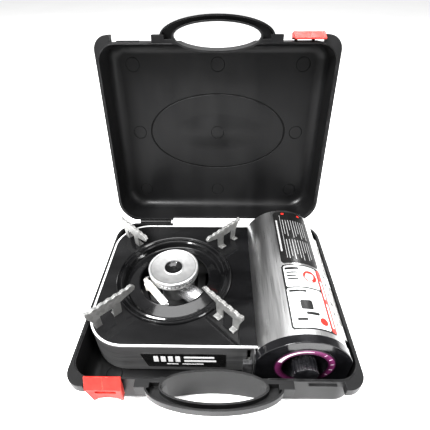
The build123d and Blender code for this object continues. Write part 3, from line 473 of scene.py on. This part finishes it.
turned_alloy, tree, shader = start_finish("turned_alloy", (0.82, 0.82, 0.82), 0.3, Metallic=0.8)
away = from_burner(tree)
ring_noise = add_node(tree, "ShaderNodeTexNoise", {"noise_dimensions": "1D"}, W=away, Scale=1.0 / 0.0007,
                      Detail=2.0)
rings = spread_between(tree, ring_noise.outputs["Fac"], 0.3, 0.7)
stain = cloud(tree, 0.01, detail=5.0)
dimple_edge = 0.0110
face = spread_between(tree, away, dimple_edge - 0.0006, dimple_edge + 0.0004)
outward = spread_between(tree, away, 0.0, 0.031)
# The cap's tones paint light and shade: the dimple is painted dark as painted shade, a dark ring near the rim
# is painted shade, and the band just outside it is a painted highlight.
painted_cap_shading = blend_tones(tree, outward, (0.0, (0.1, 0.1, 0.1)), (0.345, (0.07, 0.07, 0.071)),
                    (0.362, (0.78, 0.78, 0.78)), (0.88, (0.66, 0.66, 0.66)), (0.9, (0.36, 0.36, 0.36)),
                    (0.925, (0.88, 0.88, 0.88)))
stained = blend_tones(tree, stain, (0.0, (0.84, 0.84, 0.84)), (1.0, (1.0, 1.0, 1.0)))
join(tree, vector_step(tree, "MULTIPLY", painted_cap_shading, stained).outputs["Vector"], shader, "Base Color")
face_roughness = combine(tree, "MULTIPLY", face, 0.24)
join(tree, combine(tree, "ADD", face_roughness, reach(tree, rings, 0.08, 0.18)), shader, "Roughness")
relief(tree, shader, (rings, 0.000008), softened=0.0006)
give(turned_alloy, "burner_cap")

cast_alloy, tree, shader = start_finish("cast_alloy", (0.5, 0.5, 0.5), 0.5, Metallic=0.6)
sand_grain = cloud(tree, 0.0009, detail=3.0)
soot = cloud(tree, 0.014, detail=4.0)
tint(tree, shader, soot, (0.0, (0.3, 0.3, 0.3)), (1.0, (0.5, 0.5, 0.5)))
roughen(tree, shader, sand_grain, 0.3, 0.46)
relief(tree, shader, (sand_grain, 0.00003), softened=0.0006)
give(cast_alloy, "burner_cup", "regulator_body")

# ---------------------------------------------------------------------------
# Mixing tube: the bright tube that feeds gas and air into the cup.
# Drawn metal, with faint lines along it.
# ---------------------------------------------------------------------------

bright_tube, tree, shader = start_finish("bright_tube", (0.75, 0.75, 0.76), 0.22, Metallic=0.7)
tube_lines = cloud(tree, 0.0007, stretch=(9, 7, 1), detail=3.0)
tint(tree, shader, tube_lines, (0.0, (0.66, 0.66, 0.67)), (1.0, (0.84, 0.84, 0.85)))
roughen(tree, shader, tube_lines, 0.18, 0.32)
relief(tree, shader, (tube_lines, 0.00001), softened=0.0004)
give(bright_tube, "mixing_tube")

# ---------------------------------------------------------------------------
# Jet and gas pipe: machined and drawn brass.
# Tarnish leaves it browner and duller in patches.
# ---------------------------------------------------------------------------

brass, tree, shader = start_finish("brass", (0.72, 0.5, 0.2), 0.3, Metallic=1.0)
tarnish = cloud(tree, 0.006, detail=4.0)
tint(tree, shader, tarnish, (0.0, (0.5, 0.33, 0.13)), (1.0, (0.8, 0.58, 0.26)))
roughen(tree, shader, tarnish, 0.45, 0.22)
relief(tree, shader, (cloud(tree, 0.0005), 0.00001), softened=0.0003)
give(brass, "jet_nozzle", "gas_pipe")

# ---------------------------------------------------------------------------
# Pot supports: four bent zinc-plated steel strips, riveted to the pan, saw-toothed on top.
# The plating shows spangle, and the sheared tooth edges are brighter.
# ---------------------------------------------------------------------------

zinc_sheet, tree, shader = start_finish("zinc_sheet", (0.45, 0.45, 0.44), 0.45, Metallic=0.5)
where = add_node(tree, "ShaderNodeTexCoord")
spangle = add_node(tree, "ShaderNodeTexVoronoi", Vector=where.outputs["Object"], Scale=260.0)
spangle_grey = add_node(tree, "ShaderNodeSeparateColor", Color=spangle.outputs["Color"]).outputs["Red"]
sheared = worn_edges(tree, 0.0006, 0.02, 0.2)
zinc_tone = combine(tree, "ADD", combine(tree, "MULTIPLY", spangle_grey, 0.45), sheared)
tint(tree, shader, zinc_tone, (0.0, (0.25, 0.25, 0.245)), (0.5, (0.36, 0.36, 0.355)),
     (1.0, (0.88, 0.88, 0.87)))
roughen(tree, shader, spangle_grey, 0.38, 0.55)
relief(tree, shader, (cloud(tree, 0.0008), 0.00003), softened=0.0004)
give(zinc_sheet, "pot_support_front_left", "pot_support_front_right", "pot_support_back_left",
     "pot_support_back_right", "support_rivets")

# ---------------------------------------------------------------------------
# Igniter: white fired ceramic round the electrode, and the black rubber lead that feeds it.
# The glaze is crazed and the lead is chalky.
# ---------------------------------------------------------------------------

ceramic, tree, shader = start_finish("ceramic", (0.8, 0.79, 0.75), 0.25, Coat_Weight=0.3)
crackle = cloud(tree, 0.003, detail=5.0)
tint(tree, shader, crackle, (0.0, (0.74, 0.72, 0.67)), (1.0, (0.86, 0.85, 0.82)))
roughen(tree, shader, crackle, 0.18, 0.34)
relief(tree, shader, (crackle, 0.00002), softened=0.0003)
give(ceramic, "electrode_insulator")

lead_rubber, tree, shader = start_finish("lead_rubber", (0.02, 0.02, 0.02), 0.55)
chalk = cloud(tree, 0.003, detail=3.0)
tint(tree, shader, chalk, (0.0, (0.015, 0.015, 0.015)), (1.0, (0.04, 0.04, 0.04)))
roughen(tree, shader, chalk, 0.45, 0.65)
relief(tree, shader, (cloud(tree, 0.0005), 0.00002))
give(lead_rubber, "ignition_lead")

# ---------------------------------------------------------------------------
# Front bezel and spark unit: glossy black moulding round the gas knob.
# High-gloss ABS with hairline scratches from wiping.
# ---------------------------------------------------------------------------

black_gloss, tree, shader = start_finish("black_gloss", (0.008, 0.008, 0.009), 0.12, Coat_Weight=0.4,
                                         Coat_Roughness=0.06)
hairlines = cloud(tree, 0.0005, stretch=(30, 30, 1), detail=2.0, low=0.6, high=0.72)
haze = cloud(tree, 0.02, detail=4.0)
tint(tree, shader, haze, (0.0, (0.006, 0.006, 0.007)), (1.0, (0.014, 0.014, 0.016)))
roughen(tree, shader, combine(tree, "MAXIMUM", hairlines, haze), 0.09, 0.2)
relief(tree, shader, (hairlines, 0.000006), softened=0.0007)
give(black_gloss, "front_bezel", "spark_unit")

# ---------------------------------------------------------------------------
# Dial ring: a printed plum-purple ring behind the knob, with a pale wedge and five ticks.
# Foil-backed print under lacquer; the wedge is a thicker pass of white ink.
# ---------------------------------------------------------------------------

dial_low, dial_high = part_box("dial_ring")
dial_x, dial_z = (dial_low[0] + dial_high[0]) / 2, (dial_low[2] + dial_high[2]) / 2
dial_radius = (dial_high[0] - dial_low[0]) / 2
dial_hole = 0.0237

dial_print, tree, shader = start_finish("dial_print", (0.3, 0.05, 0.2), 0.3, Coat_Weight=0.5,
                                        Coat_Roughness=0.1)
where = add_node(tree, "ShaderNodeTexCoord")
centred = add_node(tree, "ShaderNodeMapping", Vector=where.outputs["Object"],
                   Location=(-dial_x, 0.0, -dial_z), Scale=(1.0, 0.0, 1.0))
away = vector_step(tree, "LENGTH", centred.outputs["Vector"]).outputs["Value"]
ring_place = spread_between(tree, away, dial_hole, dial_radius)
print_grain = cloud(tree, 0.0006, detail=3.0)
shaded = combine(tree, "ADD", ring_place, reach(tree, print_grain, -0.04, 0.04))
tint(tree, shader, shaded, (0.0, (0.03, 0.005, 0.022)), (0.3, (0.15, 0.022, 0.095)),
     (0.75, (0.22, 0.045, 0.15)), (0.9, (0.02, 0.006, 0.016)))
roughen(tree, shader, print_grain, 0.24, 0.4)
give(dial_print, "dial_ring")


def on_dial(outline, lift):
    """Outline of (angle from the top, clockwise seen from the front, radius) laid on the dial's face."""
    return np.stack([dial_x + outline[:, 1] * np.sin(outline[:, 0]),
                     np.full(len(outline), dial_low[1] - lift),
                     dial_z + outline[:, 1] * np.cos(outline[:, 0])], axis=1)


dial_ink, tree, shader = start_finish("dial_ink", (0.85, 0.83, 0.84), 0.4)
tint(tree, shader, cloud(tree, 0.0007), (0.0, (0.72, 0.68, 0.71)), (1.0, (0.9, 0.88, 0.89)))
roughen(tree, shader, cloud(tree, 0.002), 0.35, 0.5)
wedge_turns = np.linspace(math.radians(-72), math.radians(12), 40)
wedge_half_width = np.linspace(0.0022, 0.0002, 40)
wedge_radius = 0.0279
tick_inner, tick_outer, tick_half_turn = 0.0262, 0.0296, 0.012
inner_side = np.stack([wedge_turns, wedge_radius - wedge_half_width], axis=1)
outer_side = np.stack([wedge_turns, wedge_radius + wedge_half_width], axis=1)
dial_shapes = [np.concatenate([inner_side, outer_side[::-1]])]
for turn in np.radians(np.arange(40, 121, 20)):
    before, after = turn - tick_half_turn, turn + tick_half_turn
    dial_shapes.append(np.array([[before, tick_inner], [before, tick_outer],
                                 [after, tick_outer], [after, tick_inner]]))
points, faces = ink_slabs(dial_shapes, ink_lift, 0.0001, on_dial)
new_piece("dial_marks", points, faces, dial_ink, "stove")

# ---------------------------------------------------------------------------
# Gas knob: smoke-black polycarbonate with sixteen flutes, pushed on the valve shaft.
# Clear-coated, with finger grease dulling its crown.
# ---------------------------------------------------------------------------

smoked_knob, tree, shader = start_finish("smoked_knob", (0.02, 0.019, 0.021), 0.18, Coat_Weight=0.5,
                                         Coat_Roughness=0.08)
grease = cloud(tree, 0.006, detail=4.0)
polished = worn_edges(tree, 0.0006)
knob_tone = combine(tree, "ADD", combine(tree, "MULTIPLY", grease, 0.3),
                    combine(tree, "MULTIPLY", polished, 0.4))
tint(tree, shader, knob_tone, (0.0, (0.012, 0.012, 0.014)), (1.0, (0.07, 0.07, 0.074)))
roughen(tree, shader, grease, 0.08, 0.2)
relief(tree, shader, (cloud(tree, 0.0006), 0.000008), softened=0.0005)
give(smoked_knob, "gas_knob")

# ---------------------------------------------------------------------------
# Cover over the gas cartridge: a stainless sheet bent to an arch, brushed along the stove.
# The hairline brushing runs front to back; the rear end plate is the same sheet.
# ---------------------------------------------------------------------------

brushed_cover, tree, shader = start_finish("brushed_cover", (0.62, 0.62, 0.62), 0.34, Metallic=1.0,
                                           Anisotropic=0.5)
hair = cloud(tree, 0.0006, stretch=(1, 70, 1), detail=3.0, low=0.25, high=0.75)
soft_bands = cloud(tree, 0.012, stretch=(1, 26, 1), detail=1.0, low=0.2, high=0.8)
cover_lines = combine(tree, "ADD", combine(tree, "MULTIPLY", hair, 0.5),
                      combine(tree, "MULTIPLY", soft_bands, 0.5))
tint(tree, shader, cover_lines, (0.0, (0.58, 0.58, 0.58)), (1.0, (0.85, 0.85, 0.85)))
roughen(tree, shader, hair, 0.26, 0.4)
relief(tree, shader, (hair, 0.000012), softened=0.0003)
give(brushed_cover, "canister_cover", "rear_end_plate")

# ---------------------------------------------------------------------------
# Cover labels: printed vinyl, one black panel behind, one white panel in front, and a narrow strip
# down the right. Their printing is plain bars, bands and discs that say nothing.
# ---------------------------------------------------------------------------

arch_x, arch_z, arch_radius = 0.092, 0.040, 0.050


def on_arch(outline, lift):
    """Outline of (degrees from upright, place along Y) wrapped on the arch, lift metres above it."""
    angle = np.radians(outline[:, 0])
    radius = arch_radius + lift
    return np.stack([arch_x + radius * np.sin(angle), outline[:, 1], arch_z + radius * np.cos(angle)], axis=1)


def arch_panels(panels, lift, thickness):
    """Closed curved slabs on the arch. Each panel (first degree, last degree, low y, high y, corner radius)
    is a grid across the arch; its front and back edges are pulled in at the corners by a quarter circle."""
    points, faces = [], []
    across = 25
    for first, last, low, high, corner in panels:
        degrees = np.linspace(first, last, across)
        length = np.radians(degrees - first) * arch_radius
        inset = np.minimum(length, length[-1] - length)
        rounding = corner - np.sqrt(np.maximum(corner**2 - (corner - inset) ** 2, 0.0))
        pull = np.where(inset < corner, rounding, 0.0)
        start = sum(len(part) for part in points)
        for height in (lift, lift + thickness):
            for place in (low + pull, high - pull):
                points.append(on_arch(np.stack([degrees, place], axis=1), height))
        low_in, high_in, low_out, high_out = (start + across * row + np.arange(across) for row in range(4))
        for one, other in ((low_out, high_out), (high_in, low_in), (high_out, high_in), (low_in, low_out)):
            faces += np.stack([one[:-1], one[1:], other[1:], other[:-1]], axis=1).tolist()
        faces.append([low_in[0], low_out[0], high_out[0], high_in[0]])
        faces.append([low_out[-1], low_in[-1], high_in[-1], high_out[-1]])
    return np.concatenate(points), faces


def arch_disc(degree, place, radius, count=28):
    """Outline of a disc on the arch: a circle with its width turned into degrees."""
    turn = np.linspace(0, 2 * math.pi, count, endpoint=False)
    sideways = np.degrees(radius * np.cos(turn) / arch_radius)
    return np.stack([degree + sideways, place + radius * np.sin(turn)], axis=1)


def vinyl(name, colour, light):
    """Printed vinyl in one ink: slight mottling, faint weave of the print screen, satin lacquer."""
    material, tree, shader = start_finish(name, colour, 0.35, Coat_Weight=0.25, Coat_Roughness=0.15)
    mottle = cloud(tree, 0.0016, detail=4.0)
    tint(tree, shader, mottle, (0.0, colour), (1.0, light))
    roughen(tree, shader, cloud(tree, 0.012, detail=3.0), 0.3, 0.46)
    relief(tree, shader, (mottle, 0.000006))
    return material


vinyl_black = vinyl("vinyl_black", (0.008, 0.008, 0.008), (0.018, 0.018, 0.018))
vinyl_white = vinyl("vinyl_white", (0.6, 0.615, 0.615), (0.7, 0.715, 0.715))
vinyl_grey = vinyl("vinyl_grey", (0.3, 0.3, 0.3), (0.42, 0.42, 0.42))
vinyl_red = vinyl("vinyl_red", (0.62, 0.03, 0.02), (0.74, 0.06, 0.045))



def print_on_cover(name, shape, material):
    """A printed piece stuck on the cover, from the points and faces of its shape."""
    points, faces = shape
    new_piece(name, points, faces, material, "cover")


label_thickness = 0.00012
base_lift = 0.00003
second_lift = base_lift + label_thickness
mark_lift = 0.00004 + 2 * label_thickness
disc_lift = 0.00006 + 2 * label_thickness

black_panels = [(-15.0, 41.0, 0.0015, 0.102, 0.004), (-16.5, 41.5, -0.090, -0.0015, 0.003)]
print_on_cover("cover_label_black", arch_panels(black_panels, base_lift, label_thickness), vinyl_black)

white_panels = [(-14.0, 32.2, -0.0355, -0.0032, 0.002), (-14.6, 32.2, -0.0885, -0.0372, 0.002),
                (45.0, 58.0, -0.089, 0.004, 0.002), (46.0, 56.0, 0.066, 0.096, 0.002)]
print_on_cover("cover_label_white", arch_panels(white_panels, second_lift, label_thickness), vinyl_white)

red_panels = [(33.6, 40.4, -0.0885, -0.0032, 0.0015)]
print_on_cover("cover_label_red", arch_panels(red_panels, second_lift, label_thickness), vinyl_red)

# Pale rules down the black panel: a thick one and two columns of thin, unequal ones
rules = [(-12.5, -9.8, 0.022, 0.084, 0.0007), (-5.5, -4.7, 0.010, 0.094, 0.0002)]
rule_lengths = (0.030, 0.034, 0.022, 0.036, 0.033, 0.027, 0.036, 0.031, 0.035)
for column, length in enumerate(rule_lengths):
    turn = -2.0 + 4.2 * column
    rules.append((turn, turn + 1.1, 0.084 - length, 0.084, 0.0002))
    rules.append((turn, turn + 1.1, 0.044 - rule_lengths[-1 - column], 0.044, 0.0002))
print_on_cover("cover_label_rules", arch_panels(rules, second_lift, label_thickness), vinyl_grey)

# Dark rules on the white panels, and a ladder of them down the side strip
marks = [(-1.0, 14.0, -0.0660, -0.0540, 0.002), (4.0, 20.0, -0.0725, -0.0690, 0.001),
         (-12.5, 6.0, -0.0095, -0.0058, 0.0005), (-11.0, 4.0, -0.0150, -0.0130, 0.0004),
         (-11.0, 1.0, -0.0200, -0.0180, 0.0004), (-11.0, 3.0, -0.0250, -0.0230, 0.0004),
         (-12.0, 10.0, -0.0430, -0.0400, 0.0005), (-8.0, 4.0, -0.0800, -0.0770, 0.0005)]
for row in range(6):
    place = -0.002 - 0.0135 * row
    marks.append((47.5, 55.5 - 2.0 * (row % 3), place - 0.006, place, 0.0006))
print_on_cover("cover_label_marks", arch_panels(marks, mark_lift, label_thickness / 2), vinyl_black)

# Red discs, a white disc that makes a ring of one of them, and white bars down the red band
red_discs = [arch_disc(0.5, 0.0975, 0.0022), arch_disc(27.0, 0.0975, 0.0022),
             arch_disc(20.0, -0.0185, 0.0085), arch_disc(24.0, -0.0790, 0.0045)]
print_on_cover("cover_label_discs", ink_slabs(red_discs, disc_lift, label_thickness, on_arch), vinyl_red)
white_disc = [arch_disc(20.0, -0.0185, 0.0045)]
ring_shape = ink_slabs(white_disc, disc_lift + label_thickness, label_thickness, on_arch)
print_on_cover("cover_label_rings", ring_shape, vinyl_white)
band_marks = [(35.4, 38.6, -0.083, -0.052, 0.0008), (35.4, 38.6, -0.046, -0.020, 0.0008)]
print_on_cover("cover_label_band", arch_panels(band_marks, mark_lift, label_thickness / 2), vinyl_white)

# ---------------------------------------------------------------------------
# Lock lever knob: a grey moulded grip pushed on the lever's end.
# Matt plastic, rubbed pale along its edges and a little greasy.
# ---------------------------------------------------------------------------

grey_plastic, tree, shader = start_finish("grey_plastic", (0.06, 0.06, 0.062), 0.5)
handled = cloud(tree, 0.005, detail=4.0)
grip_tone = combine(tree, "ADD", combine(tree, "MULTIPLY", handled, 0.5), worn_edges(tree, 0.0006))
tint(tree, shader, grip_tone, (0.0, (0.04, 0.04, 0.042)), (1.0, (0.16, 0.16, 0.163)))
roughen(tree, shader, handled, 0.4, 0.6)
relief(tree, shader, (cloud(tree, 0.0004), 0.00002), softened=0.0005)
give(grey_plastic, "lever_knob")

# ---------------------------------------------------------------------------
# Studio: a plain pale floor that glows a little, a white world, four soft boxes and the camera.
# The soft boxes stand to the left, above, to the right and behind.
# ---------------------------------------------------------------------------

floor_size = 9.0
floor_mesh = bpy.data.meshes.new("floor")
floor_mesh.from_pydata([(-floor_size, -floor_size, 0.0), (floor_size, -floor_size, 0.0),
                        (floor_size, floor_size, 0.0), (-floor_size, floor_size, 0.0)], [], [(0, 1, 2, 3)])
floor = bpy.data.objects.new("floor", floor_mesh)
bpy.context.scene.collection.objects.link(floor)
floor_paper, tree, shader = start_finish("floor_paper", (0.93, 0.93, 0.93), 0.8, Specular_IOR_Level=0.1,
                                         Emission_Color=(1.0, 1.0, 1.0, 1.0), Emission_Strength=0.4)
paper = cloud(tree, 0.3, detail=2.0)
tint(tree, shader, paper, (0.0, (0.92, 0.92, 0.92)), (1.0, (0.95, 0.95, 0.95)))
floor_mesh.materials.append(floor_paper)

world = bpy.data.worlds.new("studio")
world.use_nodes = True
world.node_tree.nodes["Background"].inputs["Color"].default_value = (1.0, 1.0, 1.0, 1.0)
world.node_tree.nodes["Background"].inputs["Strength"].default_value = 0.45
bpy.context.scene.world = world
bpy.context.scene.view_settings.view_transform = "Standard"
bpy.context.scene.view_settings.gamma = 0.8


def soft_box(name, place, aim, width, height, power):
    """A rectangular area light at a place, turned to face a point."""
    data = bpy.data.lights.new(name, "AREA")
    data.shape = "RECTANGLE"
    data.size, data.size_y = width, height
    data.energy = power
    lamp = bpy.data.objects.new(name, data)
    bpy.context.scene.collection.objects.link(lamp)
    back = np.array(place) - np.array(aim)
    back = back / np.linalg.norm(back)
    right = np.cross((0.0, 0.0, 1.0), back)
    right = right / np.linalg.norm(right)
    up = np.cross(back, right)
    lamp.matrix_world = Matrix([[right[i], up[i], back[i], place[i]] for i in range(3)] + [[0, 0, 0, 1]])


soft_box("key", (-0.8, -0.7, 1.5), (0.0, 0.0, 0.05), 0.6, 0.6, 70.0)
soft_box("top", (-0.1, 0.15, 1.6), (-0.1, 0.1499, 0.0), 1.1, 1.1, 20.0)
soft_box("fill", (1.3, -0.9, 0.9), (0.0, 0.0, 0.08), 0.5, 1.0, 16.0)
soft_box("back", (0.2, 1.3, 1.3), (0.0, 0.1, 0.1), 1.4, 0.4, 22.0)

camera_place = (0.00614, -0.29197, 0.3875)
tilt_down, swing_left, roll = math.radians(38.34), math.radians(1.32), math.radians(-0.46)
ahead = np.array([-math.sin(swing_left) * math.cos(tilt_down), math.cos(swing_left) * math.cos(tilt_down),
                  -math.sin(tilt_down)])
level = np.array([math.cos(swing_left), math.sin(swing_left), 0.0])
upright = np.cross(level, ahead)
camera_right = math.cos(roll) * level + math.sin(roll) * upright
camera_up = np.cross(camera_right, ahead)
lens = bpy.data.cameras.new("camera")
lens.lens, lens.sensor_width = 28.8, 36.0
lens.shift_y = 0.01037
lens.clip_start, lens.clip_end = 0.01, 50.0
camera = bpy.data.objects.new("camera", lens)
bpy.context.scene.collection.objects.link(camera)
camera.matrix_world = Matrix([[camera_right[i], camera_up[i], -ahead[i], camera_place[i]] for i in range(3)]
                             + [[0, 0, 0, 1]])
bpy.context.scene.camera = camera
